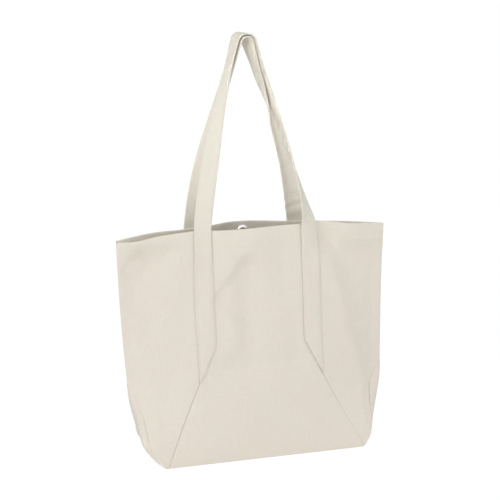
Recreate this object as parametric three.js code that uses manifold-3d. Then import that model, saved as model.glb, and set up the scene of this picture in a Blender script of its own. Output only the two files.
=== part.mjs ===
// An open canvas shopping bag: sewn wall panels with a folded hem, a boat-shaped bottom
// gusset, two strap handles gathered at the top, and a magnetic snap inside the hem.
// Millimetres. X runs across the bag, Y from its front (-Y) to its back, Z up from its base.
import * as THREE from 'three';
import { mergeVertices } from 'three/addons/utils/BufferGeometryUtils.js';
import Module from 'manifold-3d';

// The mouth
const rimWidth = 457; // side seam to side seam
const rimHeight = 375; // where the straps hold the rim up
const cornerDrop = 12; // how much lower the rim hangs at the side seams
const centreDip = 2.5; // how much it dips between the straps
const mouthDepth = 60; // front to back, without the swell between the straps
const mouthSwell = 9; // how far the slack rim swells out between the straps
const swellReach = 150; // how far down that swell runs

// The base and its gusset
const baseLength = 341; // bottom corner to bottom corner
const baseDepth = 154;
const baseEndInset = 4; // the base's short edges curve in by this much
const apexHeight = 131; // where the gusset runs out at the side seam
const apexWidth = 434; // side seam to side seam at that height
const cornerFlare = 24; // how far the seam swells out just above a bottom corner
const gussetTip = 10; // width left where the gusset ends
const gussetInset = 1.2; // clearance from its edge to the wall panels around it

// Cloth, seams and hem
const cloth = 1;
const seamGap = 0.3; // clearance between sewn pieces
const hemDepth = 32;
const pieceTip = 4; // width of a side panel at its lowest point

// Straps
const strapWidth = 32;
const strapThickness = 3;
const strapSpacing = 152; // between the inner edges of a pair of legs
const legHeight = 186; // height where the inner edge meets the diagonal seam
const handleTop = 688;
const handleShift = -12; // the gathered top hangs this far left of the middle
const hookRadius = 4; // room under the inner loop
const nestGap = 5; // clearance between the two loops
const hookTurn = THREE.MathUtils.degToRad(6);
const endLean = 0.29; // how steeply the legs run together at the top
const legHabits = {
  front_left: { startLean: 0.12, twistEnd: 0.8 },
  front_right: { startLean: 0.26, twistEnd: 0.36 },
  back_left: { startLean: 0.12, twistEnd: 0.8 },
  back_right: { startLean: 0.26, twistEnd: 0.95 },
};

// Magnetic snap
const snapDiameter = 18;
const snapDrop = 15; // from the rim to its centre
const snapOffset = -5; // it is set a little left of the middle
const caseWall = 0.5;
const caseShoulder = 0.15; // what the rounded shoulder takes off the case's corner
const caseMouth = 8; // the hole that the stud enters
const magnetHeight = 2.2;
const plateThickness = 0.6;
const washerThickness = 0.5;
const washerHole = 4.5;
const prongThickness = 0.4;
const prongWidth = 3.5;
const prongSpacing = 10;
const prongFold = 3;
const snapSeat = 0.2; // clearance between the snap's pieces
const studClearance = 0.4;
const studHeight = 2.4;
const studCrown = 0.9; // bevel round the top of the stud

// Shape of the wall, as powers: round at the rim, squarer towards the base
const rimPower = 2;
const basePower = 3;
const seamRound = 8;
const seamSweep = 3.5;
const seamFall = 1.05;
const endRound = 2.6;
const rimFall = 1.2;

// Fineness
const rowStep = 48;
const panelColumns = 8;
const gussetColumns = 8;
const baseStations = 10;
const endStations = 8;
const legRings = 16;
const topRings = 10;
const legColumns = 4;
const handleColumns = 2;
const foldSteps = 4;
const roundSides = 28;
const slopeStep = 0.5; // how far apart two points are taken to find a slope
const fineStep = 0.01;
const weld = 1e-4; // points closer than this are one point

const rimHalf = rimWidth / 2;
const baseHalf = baseLength / 2;
const apexHalf = apexWidth / 2;
const strapInner = strapSpacing / 2;
const strapOuter = strapInner + strapWidth;
const hemGap = 3 * snapSeat + washerThickness + prongThickness;
const hemThickness = 2 * cloth + hemGap;
const hemFoot = rimHeight - hemDepth;
const snapZ = rimHeight - snapDrop;
const snapFlat = snapDiameter / 2 + Math.abs(snapOffset); // the hem is flat behind the snap

const { lerp, smoothstep } = THREE.MathUtils;
const sides = { left: -1, right: 1 };
const faces = { front: -1, back: 1 };

// Half width of the wall at a height: the gusset seam below the apex, the side seam above it
function sideX(z) {
  if (z >= apexHeight) return lerp(apexHalf, rimHalf, (z - apexHeight) / (rimHeight - apexHeight));
  const rise = Math.max(z, 0) / apexHeight;
  const flare = cornerFlare * (1 - (1 - rise) ** seamRound);
  return baseHalf + flare + (apexHalf - baseHalf - cornerFlare) * rise ** seamSweep;
}

// Half depth of the wall along the same seams, where two layers lie face to face above the apex
function sideY(z) {
  const layers = lerp(cloth, hemThickness, smoothstep(z, hemFoot - hemDepth, hemFoot));
  const closed = layers + seamGap / 2;
  const rise = Math.min(Math.max(z, 0) / apexHeight, 1);
  return closed + (baseDepth / 2 - closed) * (1 - rise ** seamFall);
}

function middleY(z) {
  return lerp(baseDepth, mouthDepth, z / rimHeight) / 2;
}

// Height of the rim across the bag
function rimLine(x) {
  const out = Math.abs(x);
  if (out < strapInner) return rimHeight - centreDip * (1 - (out / strapInner) ** 2);
  const fall = Math.max(out - strapOuter, 0) / (rimHalf - strapOuter);
  return rimHeight - cornerDrop * fall ** rimFall;
}

// Point on the outer face of the front wall
function wallPoint(x, z) {
  const across = Math.abs(x) / sideX(z);
  const power = lerp(basePower, rimPower, z / rimHeight);
  const edge = sideY(z);
  const slack = 1 - smoothstep(Math.abs(x), snapFlat, strapInner);
  const swell = mouthSwell * slack * smoothstep(z, rimHeight - swellReach, rimHeight);
  const depth = edge + (middleY(z) - edge) * (1 - across ** power) + swell;
  return new THREE.Vector3(x, -depth, (z * rimLine(x)) / rimHeight);
}

function outwardNormal(x, z) {
  const across = wallPoint(x + slopeStep, z).sub(wallPoint(x - slopeStep, z));
  const up = wallPoint(x, z + slopeStep).sub(wallPoint(x, z - slopeStep));
  return across.cross(up).normalize();
}

// A point at some depth inside the front wall; a negative depth lies outside it
function wallDepth(x, z, depth) {
  return wallPoint(x, z).addScaledVector(outwardNormal(x, z), -depth);
}

// The seam between the centre panel and a side panel: up along the strap, down along the diagonal
const diagonalFoot = baseHalf - pieceTip;

function seamX(z) {
  return lerp(diagonalFoot, strapInner, Math.min(z / legHeight, 1));
}

function diagonalHeight(x) {
  return (legHeight * (diagonalFoot - x)) / (diagonalFoot - strapInner);
}

// The gusset lies inside the wall panels and stops short of the apex. Its stations crowd towards
// both ends of the curved seam, and the panels share them.
const gussetPull = cloth + gussetInset + sideY(0) - sideY(cloth);
const gussetReach = (() => {
  const closed = cloth + seamGap / 2;
  const open = (gussetPull + gussetTip / 2 - closed) / (baseDepth / 2 - closed);
  return apexHeight * (1 - open) ** (1 / seamFall);
})();

function gussetHeight(share) {
  return (gussetReach * (1 - Math.cos(Math.PI * share))) / 2;
}

// Solids
function fromTriangles(positions, triangles) {
  const geometry = new THREE.BufferGeometry();
  geometry.setAttribute('position', new THREE.Float32BufferAttribute(positions, 3));
  geometry.setIndex(triangles);
  return geometry;
}

function facesOutward(positions, triangles) {
  let volume = 0;
  for (let i = 0; i < triangles.length; i += 3) {
    const [a, b, c] = [0, 1, 2].map((k) => new THREE.Vector3().fromArray(positions, 3 * triangles[i + k]));
    volume += a.dot(b.cross(c));
  }
  return volume > 0;
}

// A closed solid: a strip's section, given as two sides with matching points, carried through a
// row of stations
function sheet(outside, inside, stations, place) {
  const ring = [...outside, ...[...inside].reverse()];
  const count = ring.length;
  const positions = stations.flatMap((station) => ring.flatMap((point) => [...place(station, point)]));
  const triangles = [];
  for (let i = 0; i + 1 < stations.length; i += 1) {
    for (let j = 0; j < count; j += 1) {
      const a = i * count + j;
      const b = i * count + ((j + 1) % count);
      triangles.push(a, b, b + count, a, b + count, a + count);
    }
  }
  const last = (stations.length - 1) * count;
  for (let j = 0; j + 1 < outside.length; j += 1) {
    const [a, b, c, d] = [j, j + 1, count - 2 - j, count - 1 - j];
    triangles.push(c, b, a, d, c, a);
    triangles.push(last + a, last + b, last + c, last + a, last + c, last + d);
  }
  if (!facesOutward(positions, triangles)) triangles.reverse();
  return fromTriangles(positions, triangles);
}

function evenly(from, to, count) {
  return Array.from({ length: count + 1 }, (_, i) => lerp(from, to, i / count));
}

// Heights that pass through every mark, no further apart than the row step
function heightsThrough(marks) {
  const ordered = [...marks].sort((a, b) => a - b);
  const heights = [ordered[0]];
  for (let i = 1; i < ordered.length; i += 1) {
    const pieces = Math.max(Math.ceil((ordered[i] - ordered[i - 1]) / rowStep), 1);
    heights.push(...evenly(ordered[i - 1], ordered[i], pieces).slice(1));
  }
  return heights;
}

// Mirrors a front piece to the back of the bag
function mirrored(geometry) {
  const copy = geometry.clone().scale(1, -1, 1);
  copy.setIndex([...copy.index.array].reverse());
  return copy;
}

const wasm = await Module();
wasm.setup();

function toSolid(geometry) {
  const bare = new THREE.BufferGeometry().setAttribute('position', geometry.attributes.position);
  if (geometry.index) bare.setIndex(geometry.index);
  const merged = mergeVertices(bare, weld);
  const mesh = new wasm.Mesh({
    numProp: 3,
    vertProperties: new Float32Array(merged.attributes.position.array),
    triVerts: new Uint32Array(merged.index.array),
  });
  return new wasm.Manifold(mesh);
}

function toGeometry(solid) {
  const mesh = solid.getMesh();
  return fromTriangles([...mesh.vertProperties], [...mesh.triVerts]);
}

function joined(geometries) {
  return toGeometry(geometries.map(toSolid).reduce((whole, piece) => whole.add(piece)));
}

function cut(geometry, tools) {
  return toGeometry(tools.map(toSolid).reduce((whole, tool) => whole.subtract(tool), toSolid(geometry)));
}

// A wall panel's section at some depth inside the wall: up to the rim, over the fold, and down
// inside as the hem's facing. Height is x and depth is y.
function panelSide(depth) {
  const foldZ = rimHeight - hemThickness / 2;
  const seamRows = evenly(0, 1, endStations).slice(1).map(gussetHeight);
  const marks = [seamGap, ...seamRows, apexHeight, legHeight, hemFoot - hemDepth, hemFoot, snapZ, foldZ];
  const radius = hemThickness / 2 - depth;
  const fold = evenly(0, Math.PI, foldSteps).slice(1).map((angle) => new THREE.Vector2(
    foldZ + radius * Math.sin(angle),
    hemThickness / 2 - radius * Math.cos(angle),
  ));
  const wall = heightsThrough(marks).map((z) => new THREE.Vector2(z, depth));
  const facing = [snapZ, hemFoot].map((z) => new THREE.Vector2(z, hemThickness - depth));
  return [...wall, ...fold, ...facing];
}

function centrePanel() {
  const columns = evenly(-1, 1, 2 * panelColumns);
  return sheet(panelSide(0), panelSide(cloth), columns, (share, { x: z, y: depth }) => (
    wallDepth(share * (seamX(z) - seamGap / 2), z, depth)
  ));
}

function sidePanel(side) {
  const columns = evenly(0, 1, panelColumns);
  return sheet(panelSide(0), panelSide(cloth), columns, (share, { x: z, y: depth }) => (
    wallDepth(side * lerp(seamX(z) + seamGap / 2, sideX(z), share), z, depth)
  ));
}

// The bottom gusset: flat under the bag, with two pointed ends that round up to the side seams.
// Spread runs from -1 to 1 along the base, and an end keeps it there while it climbs.
function gussetPoint(spread, z, across) {
  const climb = 1 - Math.max(z, 0) / apexHeight;
  const middle = apexHalf - (apexHalf - baseHalf + baseEndInset) * climb ** endRound;
  const reach = spread * lerp(middle, sideX(z), across ** 2);
  return new THREE.Vector3(reach, across * (sideY(z) - gussetPull), Math.max(z, 0));
}

function gussetInward(spread, z, across) {
  if (z === 0) return new THREE.Vector3(0, 0, 1);
  const up = gussetPoint(spread, z + fineStep, across).sub(gussetPoint(spread, z - fineStep, across));
  const width = gussetPoint(spread, z, across + fineStep).sub(gussetPoint(spread, z, across - fineStep));
  return up.cross(width).multiplyScalar(spread).normalize();
}

function bottomGusset() {
  const climb = evenly(0, 1, endStations).slice(1).map(gussetHeight);
  const stations = [
    ...[...climb].reverse().map((z) => ({ spread: -1, z })),
    ...evenly(-1, 1, baseStations).map((spread) => ({ spread, z: 0 })),
    ...climb.map((z) => ({ spread: 1, z })),
  ];
  const section = (depth) => evenly(-1, 1, gussetColumns).map((across) => new THREE.Vector2(across, depth));
  return sheet(section(0), section(cloth), stations, ({ spread, z }, { x: across, y: depth }) => (
    gussetPoint(spread, z, across).addScaledVector(gussetInward(spread, z, across), depth)
  ));
}

// The sewn part of a strap lies on the side panel, its inner edge in the seam and its end cut
// along the diagonal
function strapLeg(side) {
  const rows = evenly(0, 1, Math.ceil((rimHeight - legHeight) / rowStep));
  const section = (out) => rows.map((share) => new THREE.Vector2(share, out));
  const columns = evenly(strapInner + seamGap / 2, strapOuter, legColumns);
  return sheet(section(seamGap), section(seamGap + strapThickness), columns, (x, { x: share, y: out }) => (
    wallDepth(side * x, lerp(diagonalHeight(x) + seamGap, rimHeight, share), -out)
  ));
}

// Where a handle's free leg leaves its sewn part: middle of the strap, and the wall's slope there
function legRoot(side, face) {
  const x = side * (strapInner + strapWidth / 2);
  const up = wallPoint(x, rimHeight).sub(wallPoint(x, rimHeight - 1)).normalize();
  const root = wallDepth(x, rimHeight, -seamGap - strapThickness / 2).addScaledVector(up, seamGap);
  const slope = wallPoint(x - side, rimHeight).y - wallPoint(x, rimHeight).y;
  root.y *= -face;
  up.y *= -face;
  return { root, up, twist: face * Math.atan(slope) };
}

const topZ = handleTop - hookRadius - 2 * strapThickness - nestGap;
const topAngle = Math.atan(endLean);
const loopRadius = {
  back: hookRadius + strapThickness / 2,
  front: hookRadius + nestGap + 1.5 * strapThickness,
};
const loopAxis = new THREE.Vector3(Math.sin(hookTurn), -Math.cos(hookTurn), 0);

function loopPoint(radius, angle) {
  const out = -radius * Math.cos(angle);
  return new THREE.Vector3(
    handleShift + out * Math.cos(hookTurn),
    out * Math.sin(hookTurn),
    topZ + radius * Math.sin(angle),
  );
}

// A leg's middle line is a cubic between its root and the loop, and its width turns from lying
// along the rim to lying along the hook
function legStations(side, face, habit, radius) {
  const { root, up, twist } = legRoot(side, face);
  const end = loopPoint(radius, side < 0 ? topAngle : Math.PI - topAngle);
  const rise = end.z - root.z;
  const middleLine = new THREE.CubicBezierCurve3(
    root,
    new THREE.Vector3(root.x - (side * habit.startLean * rise) / 3, lerp(root.y, end.y, 1 / 3), root.z + rise / 3),
    new THREE.Vector3(end.x + (side * endLean * rise) / 3, lerp(root.y, end.y, 2 / 3), end.z - rise / 3),
    end,
  );
  const lastTwist = Math.PI / 2 + side * hookTurn;
  return evenly(0, 1, legRings).map((share) => {
    const turn = lerp(twist, lastTwist, smoothstep(share, 0, habit.twistEnd));
    const width = new THREE.Vector3(-side * Math.cos(turn), -Math.sin(turn), 0);
    const along = share > 0 ? middleLine.getTangent(share) : up;
    return { centre: middleLine.getPoint(share), along, width };
  });
}

function loopStations(radius) {
  return evenly(topAngle, Math.PI - topAngle, topRings).slice(1, -1).map((angle) => {
    const centre = loopPoint(radius, angle);
    const ahead = loopPoint(radius, angle + fineStep);
    return { centre, along: ahead.sub(centre).normalize(), width: loopAxis.clone() };
  });
}

function handle(faceName) {
  const face = faces[faceName];
  const radius = loopRadius[faceName];
  const left = legStations(sides.left, face, legHabits[`${faceName}_left`], radius);
  const right = legStations(sides.right, face, legHabits[`${faceName}_right`], radius).reverse();
  for (const station of right) station.along.negate();
  const stations = [...left, ...loopStations(radius), ...right];
  const section = (out) => evenly(-strapWidth / 2, strapWidth / 2, handleColumns).map((a) => new THREE.Vector2(a, out));
  const half = strapThickness / 2;
  return sheet(section(-half), section(half), stations, ({ centre, along, width }, { x: a, y: b }) => {
    const across = width.clone().addScaledVector(along, -width.dot(along)).normalize();
    const thick = along.clone().cross(across);
    return centre.clone().addScaledVector(across, a).addScaledVector(thick, b);
  });
}

// The snap's pieces stand on the hem's facing: local z = 0 is the facing's inner face, and local
// z runs into the bag
function disc(diameter, thickness, z, holes = []) {
  const shape = new THREE.Shape().absarc(0, 0, diameter / 2, 0, 2 * Math.PI);
  shape.holes.push(...holes);
  const options = { depth: thickness, bevelEnabled: false, curveSegments: roundSides };
  return new THREE.ExtrudeGeometry(shape, options).translate(0, 0, z);
}

function block(width, length, x, fromZ, toZ) {
  return new THREE.BoxGeometry(width, length, toZ - fromZ).translate(x, 0, (fromZ + toZ) / 2);
}

const prongX = prongSpacing / 2;
const washerZ = -cloth - snapSeat - washerThickness;
const foldTop = washerZ - snapSeat;
const plateDiameter = snapDiameter - 2 * caseWall - 2 * snapSeat;
const plateZ = snapSeat;
const plateTop = plateZ + plateThickness;
const magnetZ = plateTop + snapSeat;
const lipZ = magnetZ + magnetHeight + snapSeat;

// Two prongs run from the plate through the facing and the washer and fold flat behind it
function prongs() {
  return [-1, 1].flatMap((end) => [
    block(prongThickness, prongWidth, end * prongX, foldTop - prongThickness, plateZ + plateThickness / 2),
    block(
      prongFold,
      prongWidth,
      end * (prongX + (prongFold - prongThickness) / 2),
      foldTop - prongThickness,
      foldTop,
    ),
  ]);
}

function prongSlots() {
  return [-1, 1].map((end) => block(
    prongThickness + 2 * snapSeat,
    prongWidth + 2 * snapSeat,
    end * prongX,
    -cloth - snapSeat,
    snapSeat,
  ));
}

function washer() {
  const width = prongThickness / 2 + snapSeat;
  const length = prongWidth / 2 + snapSeat;
  const slots = [-prongX, prongX].map((x) => new THREE.Path([
    new THREE.Vector2(x - width, -length),
    new THREE.Vector2(x + width, -length),
    new THREE.Vector2(x + width, length),
    new THREE.Vector2(x - width, length),
  ]));
  const middle = new THREE.Path().absarc(0, 0, washerHole / 2, 0, 2 * Math.PI);
  return disc(snapDiameter, washerThickness, washerZ, [middle, ...slots]);
}

function socketPlate() {
  return joined([disc(plateDiameter, plateThickness, plateZ), ...prongs()]);
}

function magnet() {
  const bore = new THREE.Path().absarc(0, 0, caseMouth / 2 + snapSeat, 0, 2 * Math.PI);
  return disc(plateDiameter, magnetHeight, magnetZ, [bore]);
}

function turned(points) {
  const profile = points.map(([radius, z]) => new THREE.Vector2(radius, z));
  return new THREE.LatheGeometry(profile, roundSides).rotateX(Math.PI / 2);
}

// A pressed cup, open at its back, with a rounded shoulder and a hole in its face
function socketCase() {
  const outer = snapDiameter / 2;
  const inner = outer - caseWall;
  const top = lipZ + caseWall;
  return turned([
    [outer, plateZ],
    [outer, top - caseWall],
    [outer - caseShoulder, top - caseShoulder],
    [inner, top],
    [caseMouth / 2, top],
    [caseMouth / 2, lipZ],
    [inner, lipZ],
    [inner, plateZ],
    [outer, plateZ],
  ]);
}

function stud() {
  const post = caseMouth / 2 - studClearance;
  const top = plateTop + studHeight;
  const body = turned([
    [0, plateZ],
    [plateDiameter / 2, plateZ],
    [plateDiameter / 2, plateTop],
    [post, plateTop],
    [post, top - studCrown],
    [post - studCrown, top],
    [0, top],
  ]);
  return joined([body, ...prongs()]);
}

// Frame of the snap on the front or the back facing
function snapFrame(face) {
  const position = wallDepth(snapOffset, snapZ, hemThickness);
  const inward = outwardNormal(snapOffset, snapZ).negate();
  position.y *= -face;
  inward.y *= -face;
  const turn = new THREE.Quaternion().setFromUnitVectors(new THREE.Vector3(0, 0, 1), inward);
  return { position, turn };
}

function onFacing(geometry, face) {
  const { position, turn } = snapFrame(face);
  const placed = geometry.applyQuaternion(turn);
  return placed.translate(position.x, position.y, position.z);
}

// The assembly
const canvas = { color: 0xe0d9ce, roughness: 0.92, metalness: 0 };
const webbing = { color: 0xe4dfd4, roughness: 0.9, metalness: 0 };
const nickel = { color: 0xd9d9d6, roughness: 0.25, metalness: 1 };
const ferrite = { color: 0x2c2a2a, roughness: 0.7, metalness: 0.2 };

const bag = new THREE.Group();

function addPiece(name, geometry, finish, parent = bag) {
  const mesh = new THREE.Mesh(geometry, new THREE.MeshStandardMaterial(finish));
  mesh.name = name;
  parent.add(mesh);
  return mesh;
}

addPiece('bottom_gusset', bottomGusset(), canvas);

for (const [faceName, face] of Object.entries(faces)) {
  const onFace = (geometry) => (face < 0 ? geometry : mirrored(geometry));
  const slots = prongSlots().map((slot) => onFacing(slot, face));
  addPiece(`${faceName}_centre_panel`, cut(onFace(centrePanel()), slots), canvas);
  for (const [sideName, side] of Object.entries(sides)) {
    addPiece(`${faceName}_${sideName}_side_panel`, onFace(sidePanel(side)), canvas);
    addPiece(`${faceName}_${sideName}_strap_leg`, onFace(strapLeg(side)), webbing);
  }
  addPiece(`${faceName}_handle`, handle(faceName), webbing);
}

function addSnapHalf(face, pieces) {
  const { position, turn } = snapFrame(face);
  const half = new THREE.Group();
  half.position.copy(position);
  half.quaternion.copy(turn);
  for (const [name, geometry, finish] of pieces) addPiece(name, geometry, finish, half);
  bag.add(half);
}

addSnapHalf(faces.back, [
  ['snap_socket_case', socketCase(), nickel],
  ['snap_magnet', magnet(), ferrite],
  ['snap_socket_plate', socketPlate(), nickel],
  ['snap_socket_washer', washer(), nickel],
]);
addSnapHalf(faces.front, [
  ['snap_stud', stud(), nickel],
  ['snap_stud_washer', washer(), nickel],
]);

export default bag;
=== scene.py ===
# %% [markdown]
# A canvas shopping bag
#
# This bag is sewn from a few flat pieces of natural cotton canvas. Each wall is a centre panel between two
# side panels, a boat-shaped gusset closes the bottom, and two strap handles hang one inside the other. The
# walls are built as lofted shells: a formula gives the wall's outer face, and each panel is a grid of
# points on it, with its edges turned in where it is sewn. A simulation would also sag the cloth, but the
# formula keeps every seam where the maker's pattern puts it.

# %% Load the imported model
import math

import bpy
import numpy as np
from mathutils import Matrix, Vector


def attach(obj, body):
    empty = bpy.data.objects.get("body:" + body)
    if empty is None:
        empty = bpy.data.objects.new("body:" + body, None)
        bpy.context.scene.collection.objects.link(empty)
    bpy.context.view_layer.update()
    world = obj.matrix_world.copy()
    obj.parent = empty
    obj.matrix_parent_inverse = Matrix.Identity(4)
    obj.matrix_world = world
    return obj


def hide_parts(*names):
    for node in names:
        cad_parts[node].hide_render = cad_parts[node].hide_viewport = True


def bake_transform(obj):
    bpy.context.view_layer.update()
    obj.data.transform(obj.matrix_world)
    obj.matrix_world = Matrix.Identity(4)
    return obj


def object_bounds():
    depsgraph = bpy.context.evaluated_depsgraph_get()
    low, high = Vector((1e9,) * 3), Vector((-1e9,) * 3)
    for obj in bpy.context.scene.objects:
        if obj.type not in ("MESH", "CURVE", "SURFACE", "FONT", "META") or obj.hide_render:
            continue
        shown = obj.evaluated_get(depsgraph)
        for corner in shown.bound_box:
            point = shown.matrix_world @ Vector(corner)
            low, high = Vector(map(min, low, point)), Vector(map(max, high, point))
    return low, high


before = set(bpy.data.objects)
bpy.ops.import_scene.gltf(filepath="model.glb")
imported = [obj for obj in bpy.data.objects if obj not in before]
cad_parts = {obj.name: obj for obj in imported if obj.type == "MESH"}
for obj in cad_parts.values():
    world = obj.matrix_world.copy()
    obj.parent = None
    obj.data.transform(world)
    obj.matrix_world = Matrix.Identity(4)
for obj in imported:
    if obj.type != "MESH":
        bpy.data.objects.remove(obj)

MM = 0.001
cad_low, cad_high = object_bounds()
print("frame box:", [round(v, 4) for v in (*cad_low, *cad_high)])

# %% [markdown]
# The camera
#
# The photograph looks at the bag from a little above and from its left. A camera can be placed by eye, but
# every fold and seam below is set against this view. So the viewing angle, the distance and the focal
# length were fitted to the rim corners, the strap edges and the bottom corners, and a small shift puts the
# picture's centre where the fit found it.

# %% Camera
PICTURE_SIDE = 500
SENSOR_WIDTH = 36
FOCAL_PIXELS = 1585.5
CENTRE_PIXEL = (252.27, 251.61)
VIEW_AZIMUTH = math.radians(-18.5)
VIEW_ELEVATION = math.radians(12.5)
VIEW_DISTANCE = 2600 * MM
VIEW_TARGET = Vector((0, 0, 330 * MM))

lens = bpy.data.cameras.new("photo_lens")
lens.sensor_width = SENSOR_WIDTH
lens.lens = FOCAL_PIXELS * SENSOR_WIDTH / PICTURE_SIDE
lens.shift_x = (PICTURE_SIDE / 2 - CENTRE_PIXEL[0]) / PICTURE_SIDE
lens.shift_y = (CENTRE_PIXEL[1] - PICTURE_SIDE / 2) / PICTURE_SIDE
toward_camera = Vector((
    math.sin(VIEW_AZIMUTH) * math.cos(VIEW_ELEVATION),
    -math.cos(VIEW_AZIMUTH) * math.cos(VIEW_ELEVATION),
    math.sin(VIEW_ELEVATION),
))
camera = bpy.data.objects.new("photo_camera", lens)
camera.location = VIEW_TARGET + VIEW_DISTANCE * toward_camera
camera.rotation_euler = toward_camera.to_track_quat("Z", "Y").to_euler()
bpy.context.scene.collection.objects.link(camera)
bpy.context.scene.camera = camera
print("lens:", round(lens.lens, 1), "mm")

# %% [markdown]
# The shape of the wall
#
# Seen from above, the bag is closed at its side seams and widest in the middle, and it gets squarer
# towards its base. Below the gusset's tips the side seam becomes the gusset seam, which spreads to the
# bottom corners. The walls could be sculpted, but then each panel would have to be fitted to the next.
# Here every panel, strap and stitch asks the same functions where the wall is, so they all meet.

# %% Sizes of the bag
FRONT, BACK = -1, 1
LEFT, RIGHT = -1, 1
FACE_NAMES = {FRONT: "front", BACK: "back"}
SIDE_NAMES = {LEFT: "left", RIGHT: "right"}
RIM_HALF = 228.5 * MM
RIM_HEIGHT = 375 * MM
MOUTH_DEPTH = 60 * MM
MOUTH_SWELL = 9 * MM
SWELL_REACH = 150 * MM
BASE_HALF = 170.5 * MM
BASE_DEPTH = 154 * MM
APEX_HEIGHT = 131 * MM
APEX_HALF = 217 * MM
CORNER_FLARES = {FRONT: 24 * MM, BACK: 18 * MM}
STRAP_INNER = 76 * MM
STRAP_WIDTH = 32 * MM
SEAM_COVER = 2.6 * MM
# how far above a strap's slanted end the seam starts to slip under the strap's edge, and has done so
COVER_RISE = (4 * MM, 16 * MM)
HEM_DEPTH = 32 * MM
HEM_THICKNESS = 3.2 * MM
HEM_FOOT = RIM_HEIGHT - HEM_DEPTH
SNAP_X = -5 * MM
SNAP_DROP = 15 * MM
SNAP_Z = RIM_HEIGHT - SNAP_DROP
SNAP_FLAT = 14 * MM
CLOTH = 0.8 * MM
SEAM_ROOM = 0.6 * MM
HEM_ROOM = 0.03 * MM
# half depth at a side seam, below the hem and at the hem
SEAM_DEPTHS = (CLOTH + SEAM_ROOM, HEM_THICKNESS + HEM_ROOM)
# how far each strap is sewn from its even place, to the left when negative
STRAP_SHIFTS = {
    (FRONT, LEFT): -2 * MM,
    (FRONT, RIGHT): -2 * MM,
    (BACK, LEFT): -2 * MM,
    (BACK, RIGHT): -6 * MM,
}
# how far each side seam hangs outside the even pattern, at the gusset's apex and at the rim
SEAM_SHIFTS = {LEFT: (-2 * MM, 0 * MM), RIGHT: (13 * MM, 3.4 * MM)}
# the share of the gusset's height at which that shift begins
SHIFT_STARTS = {LEFT: 0, RIGHT: 0.7}
# how far the side seam bows out half way up
SEAM_BOWS = {LEFT: 2.4 * MM, RIGHT: -1 * MM}
# where each diagonal seam would meet the floor, and where it meets the strap's inner edge
DIAGONAL_FEET = {LEFT: 166.3 * MM, RIGHT: 173.7 * MM}
LEG_HEIGHTS = {LEFT: 191 * MM, RIGHT: 187 * MM}
CORNER_STRIP = 3 * MM
# powers that shape the gusset seam: its flare at the corner, its spread to the apex and its closing depth
FLARE_POWER = 8
SPREAD_POWER = 3.5
CLOSING_POWER = 1.05
# how square the bag is in plan, at its base and at its rim
PLAN_POWERS = (3, 2)
# where the mouth stands widest open
SWELL_CENTRES = {FRONT: -32 * MM, BACK: 0 * MM}
# places across the bag and the height of the rim there, in millimetres
RIM_KNOTS = {
    FRONT: (
        (-228, 361), (-190, 364.5), (-157, 372.5), (-133, 375.2), (-110, 376.4), (-76, 376.2), (-35, 377),
        (0, 377.4), (40, 377), (74, 377), (110, 376), (130, 374.2), (170, 369.5), (234, 364),
    ),
    BACK: (
        (-228, 363.5), (-165, 370), (-110, 371.2), (-70, 372.5), (-35, 374.8), (0, 375), (30, 373.8),
        (70, 372.3), (110, 371.5), (170, 368), (234, 363.3),
    ),
}


def lerp(start, end, share):
    return start + (end - start) * share


def smooth(value, low, high):
    share = np.clip((value - low) / (high - low), 0, 1)
    return share * share * (3 - 2 * share)


def curve(value, knots):
    """A smooth curve through knots, which are places and heights."""
    places, heights = np.array(knots, float).T
    slopes = np.gradient(heights, places)
    cell = np.clip(np.searchsorted(places, value) - 1, 0, len(places) - 2)
    width = places[cell + 1] - places[cell]
    share = (value - places[cell]) / width
    rest = 1 - share
    start = rest * rest * (1 + 2 * share) * heights[cell] + rest * rest * share * width * slopes[cell]
    end = share * share * (1 + 2 * rest) * heights[cell + 1] - share * share * rest * width * slopes[cell + 1]
    return start + end


def side_x(z, side, face=FRONT):
    """Half width of the wall: the gusset seam below the apex, the side seam above it."""
    rise = np.clip(z / APEX_HEIGHT, 0, 1)
    climb = np.clip((z - APEX_HEIGHT) / (RIM_HEIGHT - APEX_HEIGHT), 0, None)
    flare = CORNER_FLARES[face]
    corner = flare * (1 - (1 - rise) ** FLARE_POWER)
    spread = (APEX_HALF - BASE_HALF - flare) * rise ** SPREAD_POWER
    apex_shift, rim_shift = SEAM_SHIFTS[side]
    shift = apex_shift * smooth(rise, SHIFT_STARTS[side], 1) + (rim_shift - apex_shift) * climb
    shift = shift + SEAM_BOWS[side] * np.sin(math.pi * np.clip(climb, 0, 1))
    return BASE_HALF + corner + spread + (RIM_HALF - APEX_HALF) * climb + shift


def half_width(x, z, face):
    return np.where(x < 0, side_x(z, LEFT, face), side_x(z, RIGHT, face))


def side_y(z):
    """Half depth along the same seams. Above the apex the two walls lie face to face."""
    closed = lerp(SEAM_DEPTHS[0], SEAM_DEPTHS[1], smooth(z, HEM_FOOT - HEM_DEPTH, HEM_FOOT))
    rise = np.clip(z / APEX_HEIGHT, 0, 1)
    return closed + (BASE_DEPTH / 2 - closed) * (1 - rise ** CLOSING_POWER)


def strap_inner(side, face=FRONT):
    """Distance of a strap's inner edge from the middle. The straps hang a little to the left."""
    return STRAP_INNER + side * STRAP_SHIFTS[face, side]


def diagonal_height(x, side):
    inner = strap_inner(side)
    return LEG_HEIGHTS[side] * (DIAGONAL_FEET[side] - x) / (DIAGONAL_FEET[side] - inner)


def seam_x(z, side):
    """The seam between centre and side panels: the diagonal below, and just under the strap's edge above."""
    line = lerp(DIAGONAL_FEET[side], strap_inner(side), np.clip(z / LEG_HEIGHTS[side], 0, 1))
    strap_end = diagonal_height(strap_inner(side) + STRAP_WIDTH, side)
    cover = SEAM_COVER * smooth(z - strap_end, *COVER_RISE)
    return np.minimum(line + cover, side_x(z, side) - CORNER_STRIP)


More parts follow.
